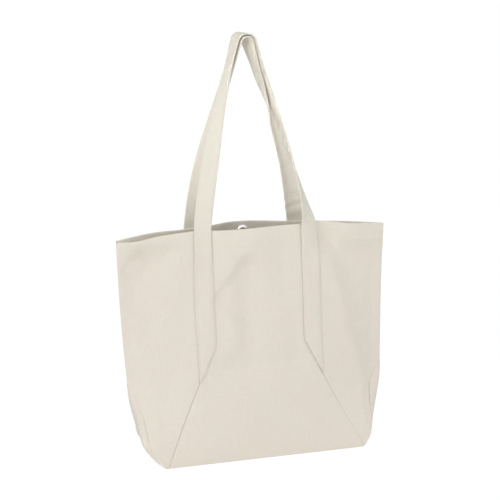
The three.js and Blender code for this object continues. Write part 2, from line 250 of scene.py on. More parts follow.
print("rim width:", round(2 * RIM_HALF / MM), "mm, base:", round(2 * BASE_HALF / MM), "mm")

# %% [markdown]
# Folds in the cloth
#
# Hanging canvas is never quite flat. The weight runs from the straps to the gusset's tips, and the cloth
# beside those lines falls in. A simulation would find folds of its own, but these have to lie where the
# photograph shows them, so each is a straight line on the wall. Cloth near a soft fold stands out by a
# bell-shaped amount, or in, when the height is negative. A tuck rises sharply at its line and runs out
# slowly on one side. A few slow waves on top keep any large area from looking ironed.

# %% Folds
FRONT_FOLDS = (
    # from (x, z), to (x, z), half width, height
    ((116, 352), (194, 88), 24, 3.4),
    ((-118, 352), (-180, 200), 30, 3.0),
    ((-222, 298), (-194, 306), 8, -2.0),
    ((-190, 326), (-203, 200), 20, -3.5),
    ((-185, 40), (-177, 160), 16, 5.0),
    ((186, 20), (190, 80), 16, 3.0),
    ((-4, 340), (-52, 284), 12, -1.4),
    ((-52, 300), (-50, 185), 15, 3.6),
    ((-16, 310), (-20, 190), 16, -5.0),
    ((40, 300), (60, 190), 18, -2.0),
    ((-60, 147), (-24, 147), 24, -6.0),
    ((28, 158), (60, 156), 16, -3.0),
)
BACK_FOLDS = (
    ((118, 352), (196, 140), 30, 3.4),
    ((-118, 352), (-196, 140), 28, 3.6),
    ((-196, 20), (-200, 140), 20, 3.2),
    ((196, 20), (200, 140), 20, 3.2),
    ((188, 330), (150, 300), 22, -3.0),
    ((-186, 310), (-206, 220), 22, -2.6),
    ((30, 340), (62, 262), 14, -2.0),
    ((-46, 300), (-60, 190), 18, -1.4),
    ((70, 165), (-50, 148), 28, -1.3),
)
FOLDS = {FRONT: FRONT_FOLDS, BACK: BACK_FOLDS}
# from (x, z), to (x, z), reach, how the cloth on the right of that way stands beside its sharp edge, and the
# share of the way over which it fades at the end
TUCKS = {
    FRONT: (
        ((194, 84), (114, 358), 36, -7.0, 0.15),
        ((-230, 336), (-146, 340), 36, -5.0, 0.45),
        ((-86, 262), (-14, 354), 26, -8.0, 0.6),
    ),
    BACK: (((-116, 352), (-190, 96), 34, -2.8, 0.15),),
}
TUCK_EDGE = 2.5 * MM
# shares of a tuck's line: where it has not yet begun and has its full height, and where it is over
TUCK_BEGINS = (-0.05, 0.1)
TUCK_ENDS = 1.05
# where the straps turn the rim itself
RIM_FOLDS = {
    FRONT: (
        ((117, 386), (122, 350), 26, -17),
        ((-122, 380), (-126, 345), 22, 5),
        ((-180, 380), (-184, 345), 18, -5),
        ((-198, 336), (-158, 338), 24, -6),
        ((-200, 372), (-154, 374), 22, 9),
    ),
    BACK: (((-124, 380), (-126, 345), 24, -4), ((122, 380), (126, 345), 24, -4)),
}
# length in metres, slant, height in millimetres
WAVES = ((0.071, 0.9, 0.35), (0.117, -0.5, 0.5), (0.163, 0.25, 0.6))
# how far from a side seam, and from the floor, the folds have their full height
SIDE_FADE = 24 * MM
FLOOR_FADE = 30 * MM
# the doubled hem takes this share off the folds, between two heights
HEM_STIFFNESS = 0.75
HEM_FADES = (HEM_FOOT - 14 * MM, HEM_FOOT + 4 * MM)


def line_place(x, z, start, end):
    """Share of the way along a line, distance to the right of it, and its length."""
    ax, az = start[0] * MM, start[1] * MM
    dx, dz = end[0] * MM - ax, end[1] * MM - az
    length = math.hypot(dx, dz)
    share = ((x - ax) * dx + (z - az) * dz) / length**2
    right = ((x - ax) * dz - (z - az) * dx) / length
    return share, right, length


def bells(x, z, lines):
    """Soft folds, the same on both sides of their lines."""
    shape = np.zeros(np.broadcast(x, z).shape)
    for start, end, width, height in lines:
        share, right, length = line_place(x, z, start, end)
        beyond = length * (share - np.clip(share, 0, 1))
        shape = shape + height * MM * np.exp(-(np.hypot(right, beyond) / (width * MM)) ** 2)
    return shape


def tucks(x, z, lines):
    """Folds with a sharp edge, on the right of their lines."""
    shape = np.zeros(np.broadcast(x, z).shape)
    for start, end, reach, height, fade in lines:
        share, right, _ = line_place(x, z, start, end)
        right = (right + np.hypot(right, TUCK_EDGE)) / (2 * reach * MM)
        ends = smooth(share, *TUCK_BEGINS) * (1 - smooth(share, TUCK_ENDS - fade, TUCK_ENDS))
        shape = shape + height * MM * right * np.exp(1 - right) * ends
    return shape


def folds(x, z, face):
    """How far the cloth stands out from its plain form."""
    total = bells(x, z, FOLDS[face]) + tucks(x, z, TUCKS[face])
    for length, slant, height in WAVES:
        phase = 2 * math.pi * (x + slant * z) / length + face
        total = total + height * MM * np.sin(phase)
    fade = smooth(half_width(x, z, face) - np.abs(x), 0, SIDE_FADE) * smooth(z, 0, FLOOR_FADE)
    flat_hem = 1 - HEM_STIFFNESS * smooth(z, *HEM_FADES)
    return (total * flat_hem + bells(x, z, RIM_FOLDS[face])) * fade


for face, face_name in FACE_NAMES.items():
    counts = [len(lines[face]) for lines in (FOLDS, TUCKS, RIM_FOLDS)]
    print(face_name, "soft folds, tucks and rim folds:", counts)


# %% The wall's outer face
def wall(x, z, face):
    """Point on the wall's outer face. It never comes nearer to the other wall than the side seams are."""
    across = np.clip(np.abs(x) / half_width(x, z, face), 0, 1)
    power = lerp(*PLAN_POWERS, np.clip(z / RIM_HEIGHT, 0, 1))
    edge = side_y(z)
    middle = lerp(BASE_DEPTH, MOUTH_DEPTH, np.clip(z / RIM_HEIGHT, 0, 1)) / 2
    slack = 1 - smooth(np.abs(x - SWELL_CENTRES[face]), SNAP_FLAT, STRAP_INNER)
    swell = MOUTH_SWELL * slack * smooth(z, RIM_HEIGHT - SWELL_REACH, RIM_HEIGHT)
    depth = edge + (middle - edge) * (1 - across ** power) + swell + folds(x, z, face)
    depth = np.maximum(depth, edge)
    x, depth = np.broadcast_arrays(x, depth)
    return np.stack([x, face * depth, z * curve(x / MM, RIM_KNOTS[face]) * MM / RIM_HEIGHT], axis=-1)


def unit(vectors):
    return vectors / np.linalg.norm(vectors, axis=-1, keepdims=True)


def wall_normal(x, z, face):
    step = 0.5 * MM
    across = wall(x + step, z, face) - wall(x - step, z, face)
    up = wall(x, z + step, face) - wall(x, z - step, face)
    return -face * unit(np.cross(across, up))


def on_wall(x, z, out, face):
    """A point that stands out from the wall by a distance, or lies inside it when that is negative."""
    x, z, out = np.broadcast_arrays(x, z, out)
    return wall(x, z, face) + out[..., None] * wall_normal(x, z, face)


mouth_front, mouth_back = (float(wall(0, RIM_HEIGHT, face)[1]) for face in FACE_NAMES)
print("mouth:", round((mouth_back - mouth_front) / MM), "mm deep in the middle")

# %% [markdown]
# From grids to cloth
#
# A panel is a grid of points. A second grid, one cloth's thickness further in, and a border between the
# two make it a closed shell, as the real panel has two faces and cut edges. A modifier could thicken it
# too, but then the cloth could not be kept off the floor. The grid's own lengths become the texture
# coordinates, in metres, so the weave has the same scale on every piece.

# %% Helpers that make meshes
# how far the cloth's inner face stays above the floor
FLOOR_ROOM = 0.1 * MM


def grid_faces(rows, columns, start=0, flip=False):
    index = start + np.arange(rows * columns).reshape(rows, columns)
    quads = np.stack([index[:-1, :-1], index[:-1, 1:], index[1:, 1:], index[1:, :-1]], axis=-1).reshape(-1, 4)
    return quads[:, ::-1] if flip else quads


def border(rows, columns):
    index = np.arange(rows * columns).reshape(rows, columns)
    loop = np.concatenate([index[0, :-1], index[:-1, -1], index[-1, :0:-1], index[:0:-1, 0]])
    after = np.roll(loop, -1)
    other = rows * columns
    return np.stack([after, loop, loop + other, after + other], axis=-1)


def add_mesh(name, points, faces, uv=None, sharp=40):
    mesh = bpy.data.meshes.new(name)
    mesh.from_pydata(points.tolist(), [], [list(face) for face in faces])
    mesh.polygons.foreach_set("use_smooth", [True] * len(mesh.polygons))
    mesh.set_sharp_from_angle(angle=math.radians(sharp))
    if uv is not None:
        corners = np.empty(len(mesh.loops), np.int32)
        mesh.loops.foreach_get("vertex_index", corners)
        layer = mesh.uv_layers.new(name="weave")
        layer.data.foreach_set("uv", uv[corners].astype(np.float32).ravel())
    mesh.validate()
    piece = bpy.data.objects.new(name, mesh)
    bpy.context.scene.collection.objects.link(piece)
    return piece


def shell(name, grid, uv, thickness):
    """A closed sheet of cloth: the grid is its outer face."""
    rows, columns = grid.shape[:2]
    normal = unit(np.cross(np.gradient(grid, axis=1), np.gradient(grid, axis=0)))
    inner = grid - thickness * normal
    inner[..., 2] = np.maximum(inner[..., 2], FLOOR_ROOM)
    points = np.concatenate([grid.reshape(-1, 3), inner.reshape(-1, 3)])
    faces = [
        *grid_faces(rows, columns),
        *grid_faces(rows, columns, rows * columns, flip=True),
        *border(rows, columns),
    ]
    flat_uv = uv.reshape(-1, 2)
    return add_mesh(name, points, faces, np.concatenate([flat_uv, flat_uv]))


def declare_cloth(piece, nodes):
    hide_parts(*nodes)
    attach(piece, "bag")


# %% [markdown]
# The wall panels
#
# A panel's rows run up the wall, over the folded hem and down inside as its facing. Its columns run from
# seam to seam. At each edge the cloth curls inwards round a small radius, so two neighbours meet in the
# shallow groove that a real seam shows. A bevel would round the edges too, but it would not tuck the
# allowance under. At a side seam the turned edge reaches to the other wall and closes the bag, and one
# diagonal seam is pressed flatter near its corner.

# %% Rows and columns of a panel
EDGE_ROUND = 1.1 * MM
# how far the cloth has turned in at each point round its edge, from the cut end on
EDGE_BEND = np.radians([90, 90, 60, 30])
EDGE_INSET = EDGE_ROUND * (1 - np.sin(EDGE_BEND))
EDGE_CURL = EDGE_ROUND * (1 - np.cos(EDGE_BEND))
ALLOWANCE = 1.5 * MM
SEWN_CURL = EDGE_CURL + np.array([ALLOWANCE, 0, 0, 0])
HEM_ALLOWANCE = 0.2 * MM
ROW_STEP = 3.5 * MM
COLUMN_STEP = 3.5 * MM
FEWEST_STEPS = 2
FEWEST_COLUMNS = 6
# the first row that counts as hem, and where the hem starts to turn over
HEM_START = HEM_FOOT - ROW_STEP
FOLD_Z = RIM_HEIGHT - HEM_THICKNESS / 2
FOLD_STATIONS = 9


def spaced(start, end, step):
    count = max(int(round(abs(end - start) / step)), FEWEST_STEPS)
    return np.linspace(start, end, count + 1)


def panel_rows():
    """Height, depth, inward direction and seam allowance for each row of a panel."""
    foot = np.stack([EDGE_INSET, SEWN_CURL, np.sin(EDGE_BEND), np.cos(EDGE_BEND)], axis=1)
    heights = np.concatenate([spaced(EDGE_ROUND, HEM_FOOT, ROW_STEP), spaced(HEM_FOOT, FOLD_Z, ROW_STEP)[1:]])
    straight = np.stack([heights, 0 * heights, 0 * heights, 1 + 0 * heights], axis=1)
    angle = np.linspace(0, math.pi, FOLD_STATIONS)[1:-1]
    radius = HEM_THICKNESS / 2
    fold = np.stack([
        FOLD_Z + radius * np.sin(angle),
        radius * (1 - np.cos(angle)),
        -np.sin(angle),
        np.cos(angle),
    ], axis=1)
    down = spaced(FOLD_Z, HEM_FOOT, ROW_STEP)
    facing = np.stack([down, 0 * down + HEM_THICKNESS, 0 * down, 0 * down - 1], axis=1)
    rows = np.concatenate([foot, straight, fold, facing])
    allowance = np.where(rows[:, 0] > HEM_START, HEM_ALLOWANCE, ALLOWANCE)
    return rows, allowance


def with_edges(edge, middle):
    """Values across the cloth: a turned edge, the middle and the other edge."""
    return np.concatenate([edge, middle, edge[::-1]])


def panel_columns(width):
    """Share across the panel, inset from the seam and curl into it, for each column."""
    middle = np.linspace(0, 1, max(int(width / COLUMN_STEP), FEWEST_COLUMNS) + 1)
    share = np.concatenate([0 * EDGE_BEND, middle, 1 + 0 * EDGE_BEND])
    return share, with_edges(EDGE_INSET, 0 * middle + EDGE_ROUND), with_edges(EDGE_CURL, 0 * middle)


print("rows up a panel:", len(panel_rows()[0]))

# %% Grid of a panel
SEAM_GAP = 0.2 * MM
# how near a side panel's turned edge comes to the other wall, and how far the hem's facing stops short of it
SEAM_TOUCH = 0.1 * MM
FACING_INSET = 1.3 * MM
NOTCH_HEIGHT = 6 * MM
# the front right diagonal seam is pressed flatter towards its corner: how round its edges stay, and where
PRESSED_ROUND = 0.3
PRESSED_HEIGHTS = (30 * MM, 110 * MM)
FIRST_EDGE = slice(0, len(EDGE_BEND))
LAST_EDGE = slice(-len(EDGE_BEND), None)


def closing_allowance(rows, allowance):
    """How far a side panel's turned edge reaches in, to meet the other wall above the gusset."""
    height, depth = rows[:, 0], rows[:, 1]
    closing = np.maximum(side_y(height) - EDGE_ROUND - SEAM_TOUCH, HEM_ALLOWANCE)
    closing = lerp(closing, HEM_ALLOWANCE, smooth(height, FOLD_Z - NOTCH_HEIGHT, FOLD_Z))
    closing = np.where(depth > 0, HEM_ALLOWANCE, closing)
    return np.where(height > APEX_HEIGHT, closing, allowance)


def panel_grid(start_x, end_x, mirror, face, width, side_seam=False, pressed=None):
    """A panel between two seams, which are functions of height. mirror puts it on the left."""
    rows, allowance = panel_rows()
    height, depth, lean_z, lean_depth = np.split(rows, 4, axis=1)
    share, inset, curl = panel_columns(width)
    curl = np.tile(curl, (len(rows), 1))
    inset = np.tile(inset, (len(rows), 1))
    if pressed:
        roundness = lerp(PRESSED_ROUND, 1, smooth(height, *PRESSED_HEIGHTS))
        curl[:, pressed] *= roundness
        inset[:, pressed] *= roundness
    curl[:, 0] += allowance
    low = start_x(height) + SEAM_GAP / 2 + inset
    high = end_x(height) - SEAM_GAP / 2 - inset
    if side_seam:
        allowance = closing_allowance(rows, allowance)
        folded = np.where(height > HEM_START, depth / HEM_THICKNESS, 0)
        high = high - FACING_INSET * folded * share
    curl[:, -1] += allowance
    x = mirror * lerp(low, high, share)
    z = height + lean_z * curl
    out = -(depth + lean_depth * curl)
    grid = on_wall(x, z, out, face)
    grid[..., 2] = np.maximum(grid[..., 2], FLOOR_ROOM)
    length = np.concatenate([[0], np.cumsum(np.hypot(*np.diff(rows[:, :2], axis=0).T))])
    uv = np.stack(np.broadcast_arrays(x, length[:, None]), axis=-1)
    if mirror * face > 0:
        grid, uv = grid[:, ::-1], uv[:, ::-1]
    return grid, uv


# %% Make the panels
cloth_pieces = []
for face, face_name in FACE_NAMES.items():
    grid, uv = panel_grid(
        lambda z: -seam_x(z, LEFT),
        lambda z: seam_x(z, RIGHT),
        RIGHT, face, 2 * STRAP_INNER, pressed=LAST_EDGE if face == FRONT else None,
    )
    piece = shell(f"canvas_{face_name}_centre", grid, uv, CLOTH)
    declare_cloth(piece, [f"{face_name}_centre_panel"])
    cloth_pieces.append(piece)
    for side, side_name in SIDE_NAMES.items():
        grid, uv = panel_grid(
            lambda z: seam_x(z, side),
            lambda z: side_x(z, side, face),
            side, face, RIM_HALF - STRAP_INNER, side_seam=True,
            pressed=FIRST_EDGE if (face, side) == (FRONT, RIGHT) else None,
        )
        piece = shell(f"canvas_{face_name}_{side_name}", grid, uv, CLOTH)
        declare_cloth(piece, [f"{face_name}_{side_name}_side_panel"])
        cloth_pieces.append(piece)

# %% [markdown]
# The bottom gusset
#
# The gusset is one boat-shaped piece. It lies flat under the bag and its two ends round up to points at
# the side seams. A bent plane would do for the flat part, but the ends have to follow the gusset seam
# exactly. So it is a grid as well: rows run along its length, from tip to tip, and columns across it.

# %% Bottom gusset
GUSSET_TIP = 3 * MM
END_ROUND = {LEFT: 1.7, RIGHT: 2.6}
END_BULGE = 4 * MM
GUSSET_GAP = 1.5 * MM
GUSSET_LIPS = {LEFT: 0.7 * MM, RIGHT: 1.2 * MM}
SEAM_START = 15 * MM
# how much fuller the front half of each end is, at which height and how far up and down
END_SKEWS = {LEFT: 40 * MM, RIGHT: 6 * MM}
SKEW_HEIGHT = 32 * MM
SKEW_REACH = 28 * MM
FILLET_HEIGHT = 7 * MM
FILLET_LENGTH = 9 * MM
# how long the end keeps its middle line before it turns to the seam
END_POWER = 4
# rows at each end, crowded towards the floor, rows on the flat, and columns
END_ROWS = 56
END_CROWDING = 1.8
FLAT_ROWS = 80
CROSS_COLUMNS = 41
NARROWEST_HALF = 0.2 * MM


def gusset_middle(z, side):
    """The gusset's middle line at its ends: a fillet off the floor, then up to the apex."""
    climb = np.clip(1 - z / APEX_HEIGHT, 0, 1)
    line = APEX_HALF - (APEX_HALF - BASE_HALF - END_BULGE) * climb ** END_ROUND[side]
    shift = SEAM_SHIFTS[side][0] * smooth(z, 0, APEX_HEIGHT)
    fillet = np.clip(1 - np.sqrt(np.maximum(z, 0) / FILLET_HEIGHT), 0, 1) ** 2
    return line + shift - FILLET_LENGTH * fillet


def gusset_end(z, across, side):
    """The end's distance from the middle of the bag. Its front half, where across is negative, is fuller."""
    front_half = np.where(across < 0, across**2 * (1 - across**2), 0)
    skew = END_SKEWS[side] * front_half * np.exp(-((z - SKEW_HEIGHT) / SKEW_REACH) ** 2)
    lip = lerp(-SEAM_GAP, GUSSET_LIPS[side], smooth(z, 0, SEAM_START))
    edge = np.where(across < 0, side_x(z, side, FRONT), side_x(z, side, BACK)) + lip
    return lerp(gusset_middle(z, side), edge, across**END_POWER) + skew


def gusset_grid():
    tip_z = APEX_HEIGHT * (1 - 2 * GUSSET_TIP / BASE_DEPTH)
    climb = tip_z * np.linspace(0, 1, END_ROWS)[1:] ** END_CROWDING
    flat = np.linspace(-1, 1, FLAT_ROWS)
    spread = np.concatenate([-np.ones_like(climb), flat, np.ones_like(climb)])[:, None]
    z = np.concatenate([climb[::-1], 0 * flat, climb])[:, None]
    middle = np.linspace(-1, 1, CROSS_COLUMNS)
    share = np.concatenate([0 * EDGE_BEND - 1, middle, 0 * EDGE_BEND + 1])
    inset = with_edges(EDGE_INSET, 0 * middle + EDGE_ROUND)
    curl = with_edges(SEWN_CURL, 0 * middle)
    half = side_y(z) - lerp(SEAM_GAP, GUSSET_GAP, smooth(z, 0, SEAM_START))
    y = share * np.maximum(half - inset, NARROWEST_HALF)
    across = np.clip(y / half, -1, 1)
    x = lerp(-gusset_end(z, across, LEFT), gusset_end(z, across, RIGHT), (spread + 1) / 2)
    grid = np.stack(np.broadcast_arrays(x, y, z), axis=-1)
    # rows run along +X and columns along +Y, so this product points out of the bag
    edge = len(EDGE_BEND)
    inside = grid[:, edge:-edge]
    outward = unit(np.cross(np.gradient(inside, axis=1), np.gradient(inside, axis=0)))
    outward = np.pad(outward, ((0, 0), (edge, edge), (0, 0)), mode="edge")
    grid = grid - curl[None, :, None] * outward
    length = np.linalg.norm(np.diff(grid[:, grid.shape[1] // 2], axis=0), axis=-1)
    length = np.concatenate([[0], np.cumsum(length)])[:, None]
    uv = np.stack(np.broadcast_arrays(length, y), axis=-1)
    return grid, uv


grid, uv = gusset_grid()
gusset = shell("canvas_gusset", grid, uv, CLOTH)
declare_cloth(gusset, ["bottom_gusset"])
cloth_pieces.append(gusset)

# %% [markdown]
# The straps
#
# Each strap is one length of canvas folded in four and stitched along both edges. It is sewn to two side
# panels, leaves the rim, and turns a quarter turn on its way up to the loop. A curve with a bevel would
# twist by its own rules, so this is a sweep: at each station a rounded section is set across the strap's
# own width and thickness. The stitches press the sewn legs' edges thin, one leg is folded narrower, and
# another one curls and creases above the rim, where the strap crosses the hinge.

# %% Strap section and sewn legs
STRAP_THICKNESS = 2.8 * MM
STRAP_SEAT = 0.3 * MM
# how thin the stitches press a sewn leg's edges, how far in, and the share of the leg where that ends
EDGE_PRESS = 0.5
PRESS_REACH = 6 * MM
PRESS_ENDS = (0.7, 0.86)
# how a sewn leg narrows towards its slanted end, and the share of the leg where it has its full width
LEG_TAPERS = {LEFT: 0.9, RIGHT: 1.0}
TAPER_END = 0.7
# the front left leg is folded narrower: shares of its sewn part where that begins, and of its free part
# where it ends
NARROW_LEG = (FRONT, LEFT)
NARROWING = 3.4 * MM
NARROW_BEGINS = (0.4, 0.9)
NARROW_ENDS = (0.9, 1)
FLAT_POINTS = 11
EDGE_TURNS = (60, 30, 0, -30, -60)
LEG_STATIONS = 44


def strap_section():
    """Points round the strap: across its width, and through its thickness."""
    half_width = STRAP_WIDTH / 2
    half = STRAP_THICKNESS / 2
    flat = np.linspace(-half_width + half, half_width - half, FLAT_POINTS)
    turn = np.radians(EDGE_TURNS)
    top = np.stack([flat, 0 * flat + half], axis=1)
    right = np.stack([half_width - half + half * np.cos(turn), half * np.sin(turn)], axis=1)
    bottom = np.stack([flat[::-1], 0 * flat - half], axis=1)
    left = -right
    return np.concatenate([top, right, bottom, left])


def narrowing(side, face):
    return NARROWING if (face, side) == NARROW_LEG else 0


def leg_rings(side, face, section):
    """The sewn part, from its slanted end up to the rim."""
    across, through = section[:, 0], section[:, 1]
    share = np.linspace(0, 1, LEG_STATIONS)[:, None]
    taper = lerp(LEG_TAPERS[side], 1, smooth(share, 0, TAPER_END))
    narrow = narrowing(side, face) * smooth(share, *NARROW_BEGINS)
    x = strap_inner(side, face) + narrow / 2 + (taper - narrow / STRAP_WIDTH) * (STRAP_WIDTH / 2 + across)
    z = lerp(diagonal_height(x, side), RIM_HEIGHT, share)
    press = lerp(1, EDGE_PRESS, smooth(np.abs(across), STRAP_WIDTH / 2 - PRESS_REACH, STRAP_WIDTH / 2))
    press = lerp(press, 1, smooth(share, *PRESS_ENDS))
    out = STRAP_SEAT + (STRAP_THICKNESS / 2 + through) * press
    return on_wall(side * x, z, out, face)


print("points round the strap:", len(strap_section()))

# %% Free legs
HANDLE_TOP = cad_high.z
# where the loops hang: how far to the left, and how far below the top the middle of their bend lies
HANDLE_SHIFT = -16.9 * MM
LOOP_DROP = 14.9 * MM
LOOP_CENTRE_Z = HANDLE_TOP - LOOP_DROP
# the room between the two loops, and how far they are turned about the upright
NEST_GAP = 2.0 * MM
LOOP_TURN = math.radians(6)
# how far each leg leans where it meets the loop
END_LEANS = {LEFT: 0.29, RIGHT: 0.34}
# how far a free leg leans at the rim
LEG_LEANS = {(FRONT, LEFT): 0.12, (FRONT, RIGHT): 0.21, (BACK, LEFT): 0.12, (BACK, RIGHT): 0.16}
# share of the free leg's height, and how far the strap has turned there in degrees
LEG_TURNS = {
    (FRONT, LEFT): ((0.2, 16), (0.4, 41), (0.6, 68), (0.8, 83), (1, 86)),
    (FRONT, RIGHT): ((0.09, 50), (0.18, 63.5), (0.3, 73), (0.45, 84), (0.66, 93.5), (0.85, 99.5), (1, 114)),
    (BACK, LEFT): ((0.2, 16), (0.4, 41), (0.6, 68), (0.8, 81), (1, 81)),
    (BACK, RIGHT): (
        (0.25, 14.5), (0.35, 32), (0.44, 44.5), (0.57, 55.5), (0.66, 76), (0.76, 92), (0.89, 100.5), (1, 114),
    ),
}
# the back right leg has creases: height above the rim, and how far each stands out
CREASED_LEG = (BACK, RIGHT)
CREASES = ((17 * MM, -4.5 * MM), (34 * MM, -1.2 * MM), (52 * MM, -0.5 * MM))
CREASE_WIDTH = 4 * MM
# how far the same leg's inner edge curls in, the share of its height where it does so most, and over how much
INNER_CURL = 5 * MM
CURL_PLACE = 0.22
CURL_REACH = 0.15
# the shares of its height between which the curl sets in, clear of the rim
CURL_STARTS = (0.02, 0.12)
FREE_STATIONS = 90
LOOP_STATIONS = 24


def loop_point(radius, angle):
    out = -radius * np.cos(angle)
    return np.stack([
        HANDLE_SHIFT + out * math.cos(LOOP_TURN),
        out * math.sin(LOOP_TURN),
        LOOP_CENTRE_Z + radius * np.sin(angle),
    ], axis=-1)


def strap_middle(side, face):
    return side * (strap_inner(side, face) + STRAP_WIDTH / 2)


def rim_twist(side, face):
    """How far the wall itself has turned where the strap leaves the rim, in degrees."""
    x = strap_middle(side, face)
    beside = wall(x + side * MM, RIM_HEIGHT, face) - wall(x, RIM_HEIGHT, face)
    return math.degrees(math.atan2(beside[1], MM))


def free_path(side, face, radius):
    """The free leg's middle line from the rim to the loop: shares of it, its rise, points and directions."""
    lean = LEG_LEANS[face, side]
    root = on_wall(strap_middle(side, face), RIM_HEIGHT, STRAP_SEAT + STRAP_THICKNESS / 2, face)
    top_angle = math.atan(END_LEANS[side])
    end = loop_point(radius, top_angle if side < 0 else math.pi - top_angle)
    rise = end[2] - root[2]
    first = np.array([root[0] - side * lean * rise / 3, lerp(root[1], end[1], 1 / 3), root[2] + rise / 3])
    end_lean = side * END_LEANS[side]
    second = np.array([end[0] + end_lean * rise / 3, lerp(root[1], end[1], 2 / 3), end[2] - rise / 3])
    share = np.linspace(0, 1, FREE_STATIONS)[1:, None]
    rest = 1 - share
    centre = rest**3 * root + 3 * rest**2 * share * first + 3 * rest * share**2 * second + share**3 * end
    along = unit(rest**2 * (first - root) + 2 * rest * share * (second - first) + share**2 * (end - second))
    return share, rise, centre, along


def free_rings(side, face, radius, section):
    """The free leg, from just above the rim to the loop."""
    share, rise, centre, along = free_path(side, face, radius)
    turn = np.radians(curve(share, ((0, rim_twist(side, face)), *LEG_TURNS[face, side])))
    outer_edge = np.concatenate([side * np.cos(turn), np.sin(turn), 0 * turn], axis=1)
    curl = np.zeros(1)
    if (face, side) == CREASED_LEG:
        curl = INNER_CURL * np.exp(-((share - CURL_PLACE) / CURL_REACH) ** 2)
        curl = curl * smooth(share, *CURL_STARTS) * smooth(-section[:, 0], 0, STRAP_WIDTH / 2)
        for place, height in CREASES:
            bell = height * np.exp(-((rise * share - place) / CREASE_WIDTH) ** 2)
            centre = centre + bell * face * unit(np.cross(outer_edge, along)) * -side
    width = lerp(1 - narrowing(side, face) / STRAP_WIDTH, 1, smooth(share, *NARROW_ENDS))
    return swept(centre, along, outer_edge, -face * side, section, width[..., None], curl[..., None])


def swept(centre, along, outer_edge, hand, section, width=1, curl=0):
    """Sets the section at each station, made narrower by width and bent inwards by curl."""
    across = unit(outer_edge - along * (outer_edge * along).sum(axis=1, keepdims=True))
    outer_face = hand * np.cross(across, along)
    return (
        centre[:, None]
        + width * section[None, :, [0]] * across[:, None]
        + (section[None, :, [1]] - curl) * outer_face[:, None]
    )


# %% Loop and whole strap
LOOP_STEP = 0.01
# stations below and above the rim over which the bend is softened, and the rounds of it there and at the loop
SOFT_STATIONS = (2, 6)
RIM_ROUNDS = 6
LOOP_ROUNDS = 4


def loop_rings(face, radius, section):
    """The loop between the two free legs, which hangs on its partner."""
    left_angle, right_angle = (math.atan(END_LEANS[side]) for side in SIDE_NAMES)
    angle = np.linspace(left_angle, math.pi - right_angle, LOOP_STATIONS)[1:-1]
    left_turn, right_turn = (LEG_TURNS[face, side][-1][1] for side in SIDE_NAMES)
    turn = np.radians(np.linspace(90 - left_turn, right_turn - 90, LOOP_STATIONS)[1:-1])
    centre = loop_point(radius, angle)
    along = unit(loop_point(radius, angle + LOOP_STEP) - loop_point(radius, angle - LOOP_STEP))
    outer_edge = np.stack([-np.sin(turn), np.cos(turn), 0 * turn], axis=1)
    return swept(centre, along, outer_edge, face, section)


def relaxed(rings, start, end, rounds):
    """Softens the bend between two stations, along the strap."""
    rings = rings.copy()
    for _ in range(rounds):
        rings[start:end] = (rings[start - 1:end - 1] + 2 * rings[start:end] + rings[start + 1:end + 1]) / 4
    return rings


def strap_rings(face, section):
    front_radius = HANDLE_TOP - LOOP_CENTRE_Z - STRAP_THICKNESS / 2
    radius = front_radius if face == FRONT else front_radius - STRAP_THICKNESS - NEST_GAP
    left = [leg_rings(LEFT, face, section), free_rings(LEFT, face, radius, section)]
    right = [free_rings(RIGHT, face, radius, section)[::-1], leg_rings(RIGHT, face, section)[::-1]]
    rings = np.concatenate([*left, loop_rings(face, radius, section), *right])
    below, above = SOFT_STATIONS
    count = len(rings)
    rings = relaxed(rings, LEG_STATIONS - below, LEG_STATIONS + above, RIM_ROUNDS)
    rings = relaxed(rings, count - LEG_STATIONS - above, count - LEG_STATIONS + below, RIM_ROUNDS)
    top = count // 2
    return relaxed(rings, top - LOOP_STATIONS, top + LOOP_STATIONS, LOOP_ROUNDS)


print("stations along a strap:", len(strap_rings(FRONT, strap_section())))


def tube_faces(stations, count):
    index = np.arange(stations * count).reshape(stations, count)
    after = np.roll(index, -1, axis=1)
    sides = np.stack([index[:-1], after[:-1], after[1:], index[1:]], axis=-1).reshape(-1, 4)
    return [*sides.tolist(), index[0, ::-1].tolist(), index[-1].tolist()]


def outward(points, faces):
    """Turns the faces round if the closed mesh is inside out."""
    near = points - points.mean(axis=0)
    volume = 0
    for face in faces:
        for second, third in zip(face[1:-1], face[2:]):
            volume += np.dot(near[face[0]], np.cross(near[second], near[third]))
    return faces if volume > 0 else [face[::-1] for face in faces]


def bend_at_rim(piece):
    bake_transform(piece)


section = strap_section()
straps = {}
for face, face_name in FACE_NAMES.items():
    rings = strap_rings(face, section)
    stations, count = rings.shape[:2]
    points = rings.reshape(-1, 3)
    length = np.linalg.norm(np.diff(rings.mean(axis=1), axis=0), axis=1)
    length = np.concatenate([[0], np.cumsum(length)])
    uv = np.stack(np.broadcast_arrays(section[:, 0], length[:, None]), axis=-1).reshape(-1, 2)
    strap = add_mesh(f"strap_{face_name}", points, outward(points, tube_faces(stations, count)), uv, sharp=50)
    legs = [f"{face_name}_{side_name}_strap_leg" for side_name in SIDE_NAMES.values()]
    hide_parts(f"{face_name}_handle", *legs)
    bend_at_rim(strap)
    straps[face] = strap
    print(strap.name, "length", round(length[-1] / MM), "mm")

# %% [markdown]
# Thread
#
# Each strap is stitched along both edges, the hem along its foot, and two short rows cross each strap
# where it is sewn to the hem. A stitch is a small rounded bar of thread that dives into the cloth at both
# ends. It could be painted on, but a row of bars stands up from the cloth in close views, and is cheap to
# build as one mesh.

# %% A row of stitches
STITCH_PITCH = 3.3 * MM
STITCH_LENGTH = 2.6 * MM
THREAD_RADIUS = 0.26 * MM
THREAD_SIDES = 6
ROW_INSET = 3 * MM
STITCH_SHAPE = (
    # share along the stitch, height of its middle and share of its full radius
    (0, -0.12 * MM, 0.5),
    (0.14, 0.1 * MM, 0.95),
    (0.5, 0.2 * MM, 1),
    (0.86, 0.1 * MM, 0.95),
    (1, -0.12 * MM, 0.5),
)


